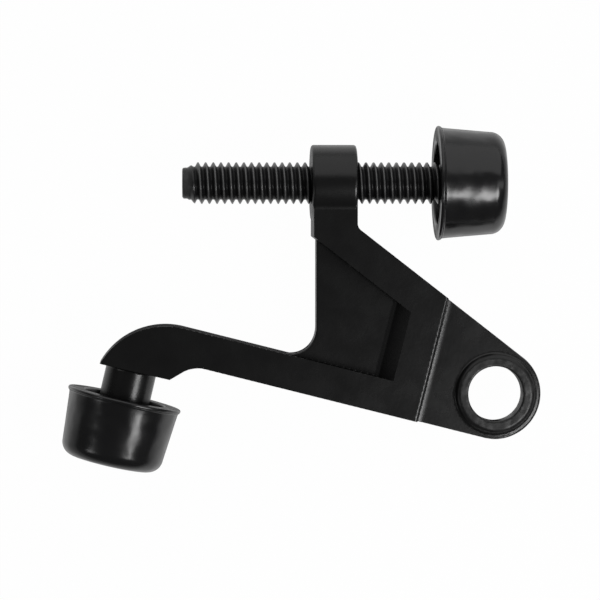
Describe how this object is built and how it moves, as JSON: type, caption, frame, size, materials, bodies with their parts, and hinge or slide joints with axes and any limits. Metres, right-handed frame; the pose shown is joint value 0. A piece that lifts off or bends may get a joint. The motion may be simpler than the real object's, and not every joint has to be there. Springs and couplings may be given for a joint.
{
  "type": "hinge pin door stop",
  "caption": "Cast bracket that hangs on a door's hinge pin, with a screwed adjusting rod and a rubber tip at the rod and at the arm.",
  "frame": {"origin": "centre of the hinge pin's hole, halfway through the eye", "axes": "+Z along the hinge pin, +X along the adjusting rod towards its rubber tip, +Y from the hole's side towards the rod"},
  "size_m": [0.0885, 0.0639, 0.0212],
  "materials": {
    "black_casting": "satin black coat on a zinc die casting",
    "black_steel": "black oxide on steel thread",
    "black_rubber": "glossy moulded black rubber"
  },
  "bodies": {
    "bracket_body": {"bracket": "black_casting", "arm_tip": "black_rubber"},
    "tip_body": {"rod_tip": "black_rubber"},
    "rod_body": {"threaded_rod": "black_steel"}
  },
  "joints": [
    {"name": "rod_travel", "type": "slide", "parent": "bracket_body", "child": "tip_body", "axis": [1, 0, 0], "range_m": [-0.0113, 0.0226]},
    {"name": "rod_turn", "type": "hinge", "parent": "tip_body", "child": "rod_body", "pos_m": [-0.03, 0.039, 0], "axis": [1, 0, 0], "range_deg": [-2883, 5766]}
  ],
  "couplings": [
    {"joint": "rod_turn", "follows": "rod_travel", "rad_per_m": 4452.7}
  ]
}
